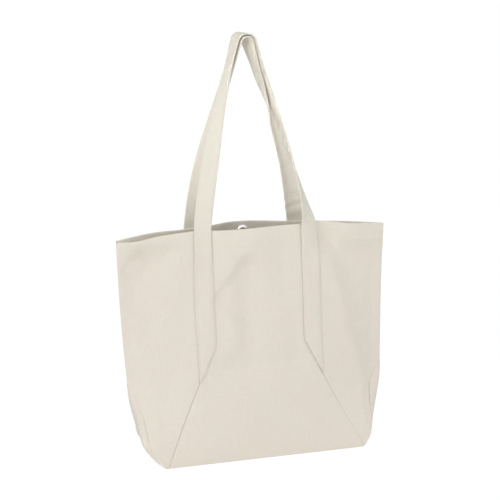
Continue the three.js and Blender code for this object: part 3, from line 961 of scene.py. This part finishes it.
def resample(values, length, places):
    return np.stack([np.interp(places, length, values[:, k]) for k in range(3)], axis=-1)


def stitch_row(path, normal):
    """Points and faces of a row of stitches on a path, standing up along its normals."""
    length = np.concatenate([[0], np.cumsum(np.linalg.norm(np.diff(path, axis=0), axis=1))])
    starts = np.arange(STITCH_PITCH / 2, length[-1] - STITCH_LENGTH, STITCH_PITCH)
    turn = np.linspace(0, 2 * math.pi, THREAD_SIDES, endpoint=False)
    along = unit(resample(path, length, starts + STITCH_LENGTH) - resample(path, length, starts))
    rings = []
    for share, height, size in STITCH_SHAPE:
        place = starts + share * STITCH_LENGTH
        up = unit(resample(normal, length, place))
        side = np.cross(along, up)
        centre = resample(path, length, place) + height * up
        radius = size * THREAD_RADIUS
        ring = centre[:, None] + radius * (
            np.cos(turn)[None, :, None] * up[:, None] + np.sin(turn)[None, :, None] * side[:, None])
        rings.append(ring)
    points = np.stack(rings, axis=1).reshape(-1, 3)
    one = tube_faces(len(STITCH_SHAPE), THREAD_SIDES)
    size = len(STITCH_SHAPE) * THREAD_SIDES
    one = outward(points[:size], one)
    faces = [[index + size * k for index in face] for k in range(len(starts)) for face in one]
    return points, faces


def add_stitches(name, rows):
    points, faces = [], []
    for path, normal in rows:
        row_points, row_faces = stitch_row(path, normal)
        start = sum(len(p) for p in points)
        faces += [[index + start for index in face] for face in row_faces]
        points.append(row_points)
    return add_mesh(name, np.concatenate(points), faces, sharp=180)


print("stitches in a metre:", round(1 / STITCH_PITCH))

# %% Sew the straps and the hem
# a second point this much further out gives the way up from the strap's face
LIFT = 1.5
ROW_POINTS = 60
# rows that cross the strap: one above the hem's foot, one below the rim
HEM_ROW = HEM_FOOT + 3 * MM
RIM_ROW = RIM_HEIGHT - 5 * MM
# how far the hem's rows stop short of the side seams, outside and inside, and of the straps
SEAM_CLEAR = 4 * MM
FACING_CLEAR = 6 * MM
STRAP_CLEAR = 1 * MM
# on the strap's inner face only the free part shows its stitches, between these stations
BEND_END = LEG_STATIONS + SOFT_STATIONS[1]
FREE_PART = slice(BEND_END, -BEND_END)


def strap_row(face, across, through, part=slice(None)):
    """A path along the strap at one distance from its middle, on one of its two faces."""
    lifted = np.array([[across, through], [across, LIFT * through]])
    rings = strap_rings(face, lifted)[part]
    return rings[:, 0], unit(rings[:, 1] - rings[:, 0])


def wall_row(start_x, end_x, z, out, face, facing=1):
    """A level path across the wall, standing out from it by a distance."""
    x = np.linspace(start_x, end_x, ROW_POINTS)
    return on_wall(x, z, out, face), facing * wall_normal(x, 0 * x + z, face)


stitching = []
half = STRAP_THICKNESS / 2
edge = STRAP_WIDTH / 2 - ROW_INSET
for face, face_name in FACE_NAMES.items():
    rows = [strap_row(face, across, half) for across in (-edge, edge)]
    rows += [strap_row(face, across, -half, FREE_PART) for across in (-edge, edge)]
    for side in SIDE_NAMES:
        near = side * (strap_inner(side, face) + ROW_INSET)
        far = side * (strap_inner(side, face) + STRAP_WIDTH - ROW_INSET)
        for z in (HEM_ROW, RIM_ROW):
            rows.append(wall_row(near, far, z, STRAP_SEAT + STRAP_THICKNESS, face))
    piece = add_stitches(f"thread_strap_{face_name}", rows)
    bend_at_rim(piece)
    stitching.append(piece)

    left_inner, right_inner = (strap_inner(side, face) for side in SIDE_NAMES)
    left_end, right_end = -side_x(HEM_ROW, LEFT), side_x(HEM_ROW, RIGHT)
    hem_rows = []
    for start_x, end_x in (
        (left_end + SEAM_CLEAR, -left_inner - STRAP_WIDTH - STRAP_CLEAR),
        (-left_inner + STRAP_CLEAR, right_inner - STRAP_CLEAR),
        (right_inner + STRAP_WIDTH + STRAP_CLEAR, right_end - SEAM_CLEAR),
    ):
        hem_rows.append(wall_row(start_x, end_x, HEM_ROW, 0, face))
    ends = (left_end + FACING_CLEAR, right_end - FACING_CLEAR)
    hem_rows.append(wall_row(*ends, HEM_ROW, -HEM_THICKNESS, face, facing=-1))
    piece = add_stitches(f"thread_hem_{face_name}", hem_rows)
    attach(piece, "bag")
    stitching.append(piece)
print("stitches:", sum(len(piece.data.vertices) for piece in stitching) // (len(STITCH_SHAPE) * THREAD_SIDES))

# %% [markdown]
# The magnetic snap
#
# Two pressed caps of bright nickel close the mouth. The socket, on the back hem, has a hole with a magnet
# behind it, and the stud on the front hem fits the hole. A stack of plain cylinders would miss the rounded
# lips, so each is turned from a profile, like a part on a lathe, and set square to the cloth inside the
# hem. Small washers behind the facing hold the prongs.

# %% Snap
SNAP_SIDES = 64
STUD_SEAT = 0.6 * MM


def turned(name, profile, face, depth):
    """A profile of radius and height, turned about the snap's axis. Height runs into the bag."""
    radius, height = np.array(profile, float).T * MM
    turn = np.linspace(0, 2 * math.pi, SNAP_SIDES, endpoint=False)
    middle = on_wall(SNAP_X, SNAP_Z, 0, face)
    inward = -wall_normal(np.array(SNAP_X), np.array(SNAP_Z), face)
    across = unit(np.cross([0, 0, 1], inward))
    up = np.cross(inward, across)
    ring = np.cos(turn)[:, None] * across + np.sin(turn)[:, None] * up
    base = middle + depth * inward
    points = base + radius[:, None, None] * ring[None] + height[:, None, None] * inward
    count = len(profile)
    index = np.arange(count * SNAP_SIDES).reshape(count, SNAP_SIDES)
    below, after = np.roll(index, -1, axis=0), np.roll(index, -1, axis=1)
    faces = np.stack([index, after, np.roll(after, -1, axis=0), below], axis=-1).reshape(-1, 4).tolist()
    points = points.reshape(-1, 3)
    piece = add_mesh(name, points, outward(points, faces), sharp=32)
    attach(piece, "bag")
    return piece


# profiles in millimetres: radius, then height above the facing; each is a closed outline
SOCKET_CASE = (
    (9, 0.15), (9, 0.9), (8.85, 1.35), (8.5, 1.8), (7.9, 2.3), (7.2, 2.75), (6.4, 3.15), (5.6, 3.42),
    (5.1, 3.5), (4.7, 3.42), (4.45, 3.15), (4.35, 2.7), (4.35, 1.2), (4.75, 1.2), (4.75, 1.75), (7.9, 1.75),
    (8.3, 1.2), (8.3, 0.15),
)
SOCKET_MAGNET = ((7.6, 0.9), (7.6, 1.6), (5.2, 1.6), (5.2, 0.9))
SOCKET_PLATE = ((8.0, 0.2), (8.0, 0.8), (0.4, 0.8), (0.4, 0.2))
SNAP_WASHER = ((8.5, -1.35), (8.5, -0.95), (2.2, -0.95), (2.2, -1.35))
STUD = (
    (9, 0.15), (9, 0.6), (8.8, 0.85), (8.3, 1.0), (4.6, 1.05), (4.1, 1.15), (3.8, 1.4), (3.7, 1.8),
    (3.7, 3.0), (3.55, 3.4), (3.1, 3.7), (2.4, 3.85), (0.3, 3.9), (0.3, 0.15),
)
snap_case = turned("snap_socket_ring", SOCKET_CASE, BACK, HEM_THICKNESS)
snap_magnet = turned("snap_socket_magnet", SOCKET_MAGNET, BACK, HEM_THICKNESS)
snap_plate = turned("snap_socket_back", SOCKET_PLATE, BACK, HEM_THICKNESS)
snap_stud = turned("snap_stud_cap", STUD, FRONT, HEM_THICKNESS + STUD_SEAT)
washers = {
    face: turned(f"snap_{face_name}_disc", SNAP_WASHER, face, HEM_THICKNESS)
    for face, face_name in FACE_NAMES.items()
}
for piece, node, slot in (
    (snap_case, "snap_socket_case", "nickel"),
    (snap_magnet, "snap_magnet", "ferrite"),
    (snap_plate, "snap_socket_plate", "nickel"),
    (snap_stud, "snap_stud", "nickel"),
    (washers[BACK], "snap_socket_washer", "nickel"),
    (washers[FRONT], "snap_stud_washer", "nickel"),
):
    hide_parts(node)
print("snap at", [round(float(v) / MM, 1) for v in on_wall(SNAP_X, SNAP_Z, 0, BACK)], "mm")

# %% [markdown]
# Stage, light and colour
#
# The photograph has a white background and flat, soft light. The floor and the world are white for the
# camera, and the floor keeps a faint shadow. A lighting picture would wrap the bag too evenly. So a wide
# key lamp stands in front on the left and a weaker wide one on the right, which leaves soft shade on the
# parts that turn away. Five weak, narrow lamps lift the straps, the loop, the right legs, the lower front
# and the left corner.

# %% Node helper
def add_node(tree, kind, settings=None, **inputs):
    """A node with its settings and inputs. An input goes by its name, or by _ and its number."""
    node = tree.nodes.new(kind)
    for name, value in (settings or {}).items():
        setattr(node, name, value)
    for name, value in inputs.items():
        socket = node.inputs[int(name[1:])] if name[0] == "_" else node.inputs[name.replace("_", " ")]
        if isinstance(value, bpy.types.NodeSocket):
            tree.links.new(value, socket)
        else:
            socket.default_value = value
    return node


def maths(tree, operation, *values):
    """The output of a maths node."""
    inputs = {f"_{k}": value for k, value in enumerate(values)}
    return add_node(tree, "ShaderNodeMath", {"operation": operation}, **inputs).outputs[0]


def node_material(name):
    """An empty material and its node tree."""
    material = bpy.data.materials.new(name)
    material.use_nodes = True
    material.node_tree.nodes.clear()
    return material, material.node_tree


def linear(red, green, blue):
    """A colour as a picture shows it, from 0 to 255, in the shader's own numbers."""
    share = np.array([red, green, blue]) / 255
    value = np.where(share <= 0.04045, share / 12.92, ((share + 0.055) / 1.055) ** 2.4)
    return (*value.tolist(), 1.0)


# %% Stage and light
WHITE = (1, 1, 1, 1)
# how strongly the white room lights the bag, beside the 1 that the camera sees
ROOM_LIGHT = 0.76
FLOOR_HALF = 40
FLOOR_PAINT = (0.9, 0.9, 0.9, 1)
FLOOR_GLOW = 1.1
GLOW_SHARE = 0.8
LAMP_WHITE = (1, 1, 1)
# name, place, target, size, watts, spread in degrees, colour
LAMPS = (
    ("key_lamp", (-2.2, -2.2, 1.7), (0, 0, 0.3), 1.4, 25, 180, LAMP_WHITE),
    ("strap_lamp", (-2.0, -1.0, 0.95), (0, 0, 0.62), 0.6, 0.1, 20, (0.97, 1, 0.98)),
    ("loop_lamp", (-1.7, -1.45, 0.15), (0.03, 0, 0.6), 0.3, 0.03, 9, LAMP_WHITE),
    ("leg_lamp", (-0.4, -2.4, 0.7), (0.03, 0, 0.54), 0.06, 0.008, 4, LAMP_WHITE),
    ("fill_lamp", (2.6, -2.2, 1.0), (0, 0, 0.3), 2.0, 13, 180, LAMP_WHITE),
    ("low_lamp", (0.6, -2.0, 0.2), (0.1, 0, 0.03), 0.6, 0.06, 40, LAMP_WHITE),
    ("corner_lamp", (-2.0, -0.5, 0.3), (-0.2, 0, 0.06), 0.3, 0.02, 10, LAMP_WHITE),
)
scene = bpy.context.scene
scene.view_settings.view_transform = "Standard"


def seen_directly(tree):
    """1 for rays that show the background: from the camera, or by way of metal and glass."""
    path = add_node(tree, "ShaderNodeLightPath")
    shown = maths(tree, "MAXIMUM", path.outputs["Is Camera Ray"], path.outputs["Is Glossy Ray"])
    return maths(tree, "MAXIMUM", shown, path.outputs["Is Transmission Ray"])


def make_world():
    world = bpy.data.worlds.new("white_room")
    scene.world = world
    world.use_nodes = True
    tree = world.node_tree
    tree.nodes.clear()
    shown = seen_directly(tree)
    strength = add_node(tree, "ShaderNodeMapRange", None, Value=shown, To_Min=ROOM_LIGHT, To_Max=1.0)
    light = add_node(tree, "ShaderNodeBackground", None, Color=WHITE, Strength=strength.outputs[0])
    add_node(tree, "ShaderNodeOutputWorld", None, Surface=light.outputs[0])


def make_floor():
    corners = FLOOR_HALF * np.array([[-1.0, -1.0, 0], [1, -1, 0], [1, 1, 0], [-1, 1, 0]])
    floor = add_mesh("floor", corners, [[0, 1, 2, 3]])
    paint, tree = node_material("white_floor")
    matt = add_node(tree, "ShaderNodeBsdfDiffuse", None, Color=FLOOR_PAINT)
    white = add_node(tree, "ShaderNodeEmission", None, Color=WHITE, Strength=FLOOR_GLOW)
    share = maths(tree, "MULTIPLY", seen_directly(tree), GLOW_SHARE)
    both = add_node(tree, "ShaderNodeMixShader", None, _0=share, _1=matt.outputs[0], _2=white.outputs[0])
    add_node(tree, "ShaderNodeOutputMaterial", None, Surface=both.outputs[0])
    floor.data.materials.append(paint)


def add_lamp(name, place, target, size, watts, spread, colour):
    lamp = bpy.data.lights.new(name, "AREA")
    lamp.shape = "DISK"
    lamp.size = size
    lamp.energy = watts
    lamp.spread = math.radians(spread)
    lamp.color = colour
    holder = bpy.data.objects.new(name, lamp)
    holder.location = place
    holder.rotation_euler = (Vector(place) - Vector(target)).to_track_quat("Z", "Y").to_euler()
    scene.collection.objects.link(holder)


make_world()
make_floor()
for lamp_values in LAMPS:
    add_lamp(*lamp_values)
print("lamps:", [values[0] for values in LAMPS])

# %% [markdown]
# Canvas
#
# Natural canvas is a plain weave of slightly uneven cotton yarns. Two sets of rounded threads cross over
# and under, so the weave is a checkerboard of ridges. A picture of cloth would blur in close views, so the
# weave is made of nodes, driven by the panel's own coordinates in metres. Stretched noise makes some yarns
# a little thicker or darker, and slow noise lets the cream drift between a warmer and a cooler tone. Where a
# yarn dips under another the colour is a little darker, painted shade in the weave's grooves. The hem and
# the straps above it are painted cooler, a painted tint of cool light.

# %% Canvas material
WARM_CREAM = linear(228, 219.5, 208)
COOL_CREAM = linear(226, 222, 209)
YARN = 0.75 * MM
# how far a yarn dips where it passes under another
YARN_DIP = 0.45
# thick places are long: the noise is this much coarser along a yarn, and adds this much height
SLUB_STRETCH = 0.035
SLUB_HEIGHT = 0.5
# where the painted cool tint of light on the hem and the straps begins
COOL_LIGHT_TINT_START = HEM_FOOT - 8 * MM


def canvas(name, yarn):
    material, tree = node_material(name)
    place = add_node(tree, "ShaderNodeUVMap", {"uv_map": "weave"}).outputs[0]
    scaled = add_node(tree, "ShaderNodeVectorMath", {"operation": "SCALE"}, Vector=place, Scale=1 / yarn)
    apart = add_node(tree, "ShaderNodeSeparateXYZ", None, Vector=scaled.outputs[0])
    u, v = apart.outputs[0], apart.outputs[1]
    warp = maths(tree, "ABSOLUTE", maths(tree, "SINE", maths(tree, "MULTIPLY", u, math.pi)))
    weft = maths(tree, "ABSOLUTE", maths(tree, "SINE", maths(tree, "MULTIPLY", v, math.pi)))
    over = add_node(tree, "ShaderNodeTexChecker", None, Vector=scaled.outputs[0], Scale=1.0).outputs[1]
    warp_high = maths(tree, "MULTIPLY", warp, maths(tree, "MULTIPLY_ADD", weft, YARN_DIP, 1 - YARN_DIP))
    weft_high = maths(tree, "MULTIPLY", weft, maths(tree, "MULTIPLY_ADD", warp, YARN_DIP, 1 - YARN_DIP))
    thread = add_node(tree, "ShaderNodeMix", {"data_type": "FLOAT"}, _0=over, _2=warp_high, _3=weft_high)

    def slubs(stretch):
        stretched = add_node(
            tree, "ShaderNodeVectorMath", {"operation": "MULTIPLY"}, _0=scaled.outputs[0], _1=stretch)
        return add_node(
            tree, "ShaderNodeTexNoise", None, Vector=stretched.outputs[0], Scale=1.0, Detail=2.0).outputs[0]

    uneven = maths(tree, "ADD", slubs((1.0, SLUB_STRETCH, 1.0)), slubs((SLUB_STRETCH, 1.0, 1.0)))
    height = maths(tree, "MULTIPLY_ADD", uneven, SLUB_HEIGHT, thread.outputs[0])
    bump = add_node(tree, "ShaderNodeBump", None, Strength=0.35, Distance=0.25 * MM, Height=height)

    drift = add_node(tree, "ShaderNodeTexNoise", None, Vector=place, Scale=17.0, Detail=2.0).outputs[0]
    drift = add_node(
        tree, "ShaderNodeMapRange", None, Value=drift, From_Min=0.35, From_Max=0.65, To_Max=0.3).outputs[0]
    solid_place = add_node(tree, "ShaderNodeTexCoord").outputs["Object"]
    level = add_node(tree, "ShaderNodeSeparateXYZ", None, Vector=solid_place).outputs[2]
    # from the hem's foot up the canvas is painted cooler: a painted tint of the cool light on the hem and
    # straps
    cool_light_tint = {"From_Min": COOL_LIGHT_TINT_START, "From_Max": RIM_HEIGHT, "To_Max": 0.7}
    painted_cool_light = add_node(tree, "ShaderNodeMapRange", None, Value=level, **cool_light_tint)
    mix = maths(tree, "ADD", drift, painted_cool_light.outputs[0])
    tone = add_node(
        tree, "ShaderNodeMix", {"data_type": "RGBA"}, _0=mix, _6=WARM_CREAM, _7=COOL_CREAM).outputs[2]
    shade = add_node(
        tree, "ShaderNodeMapRange", None, Value=uneven, From_Min=0.7, From_Max=1.3, To_Min=0.955, To_Max=1.03)
    # darker where a yarn dips under another: painted shade in the weave's grooves
    groove = add_node(
        tree, "ShaderNodeMapRange", None, Value=thread.outputs[0], From_Max=0.8, To_Min=0.93, To_Max=1.0)
    both = maths(tree, "MULTIPLY", shade.outputs[0], groove.outputs[0])
    colour = add_node(tree, "ShaderNodeVectorMath", {"operation": "SCALE"}, _0=tone, Scale=both)
    surface = add_node(
        tree,
        "ShaderNodeBsdfPrincipled",
        None,
        Base_Color=colour.outputs[0],
        Roughness=0.92,
        Normal=bump.outputs[0],
        Sheen_Weight=0.12,
        Sheen_Roughness=0.5,
        Specular_IOR_Level=0.2,
    )
    add_node(tree, "ShaderNodeOutputMaterial", None, Surface=surface.outputs[0])
    return material


wall_canvas = canvas("wall_canvas", YARN)
strap_canvas = canvas("strap_canvas", YARN)
for piece in cloth_pieces:
    piece.data.materials.append(wall_canvas)
for strap in straps.values():
    strap.data.materials.append(strap_canvas)
print("canvas nodes:", len(wall_canvas.node_tree.nodes))

# %% [markdown]
# Thread and metal
#
# The thread is cotton like the cloth, in nearly its cream, with a fine twist. The snap is bright nickel:
# fully metallic, quite smooth, with faint scratches that break up its roughness. The magnet is dark, dull
# ferrite. Flat colours would do at this size, but the twist and the scratches hold up in close views.

# %% Thread and metal materials
TWIST_SCALE = 2200
THREAD_DARK = linear(217, 210, 197)
THREAD_LIGHT = linear(229, 222, 210)
# the noise is finer up and down than sideways, so the scratches run level
SCRATCH_SCALES = (300, 300, 2400)
NICKEL = linear(254, 254, 251)
FERRITE = linear(58, 56, 54)


def placed_material(name):
    material, tree = node_material(name)
    place = add_node(tree, "ShaderNodeTexCoord").outputs["Object"]
    return material, tree, place


def thread_material():
    material, tree, place = placed_material("cotton_thread")
    twist = add_node(tree, "ShaderNodeTexNoise", None, Vector=place, Scale=TWIST_SCALE, Detail=1.0).outputs[0]
    tone = add_node(
        tree, "ShaderNodeMix", {"data_type": "RGBA"}, _0=twist, _6=THREAD_DARK, _7=THREAD_LIGHT).outputs[2]
    bump = add_node(tree, "ShaderNodeBump", None, Strength=0.3, Distance=0.1 * MM, Height=twist)
    surface = add_node(tree, "ShaderNodeBsdfPrincipled", None, Base_Color=tone, Roughness=0.8,
                       Normal=bump.outputs[0], Sheen_Weight=0.2, Specular_IOR_Level=0.25)
    add_node(tree, "ShaderNodeOutputMaterial", None, Surface=surface.outputs[0])
    return material


def metal_material(name, colour, metallic, smoothest, roughest):
    material, tree, place = placed_material(name)
    stretched = add_node(
        tree, "ShaderNodeVectorMath", {"operation": "MULTIPLY"}, _0=place, _1=SCRATCH_SCALES).outputs[0]
    marks = add_node(tree, "ShaderNodeTexNoise", None, Vector=stretched, Scale=1.0, Detail=4.0).outputs[0]
    rough = add_node(tree, "ShaderNodeMapRange", None, Value=marks, From_Min=0.3, From_Max=0.7,
                     To_Min=smoothest, To_Max=roughest).outputs[0]
    bump = add_node(tree, "ShaderNodeBump", None, Strength=0.08, Distance=0.05 * MM, Height=marks)
    surface = add_node(tree, "ShaderNodeBsdfPrincipled", None, Base_Color=colour, Metallic=metallic,
                       Roughness=rough, Normal=bump.outputs[0])
    add_node(tree, "ShaderNodeOutputMaterial", None, Surface=surface.outputs[0])
    return material


thread = thread_material()
nickel = metal_material("bright_nickel", NICKEL, metallic=1.0, smoothest=0.22, roughest=0.34)
ferrite = metal_material("dark_ferrite", FERRITE, metallic=0.0, smoothest=0.6, roughest=0.8)
for piece in stitching:
    piece.data.materials.append(thread)
for piece in (snap_case, snap_plate, snap_stud, *washers.values()):
    piece.data.materials.append(nickel)
snap_magnet.data.materials.append(ferrite)
print("materials:", sorted(material.name for material in bpy.data.materials))
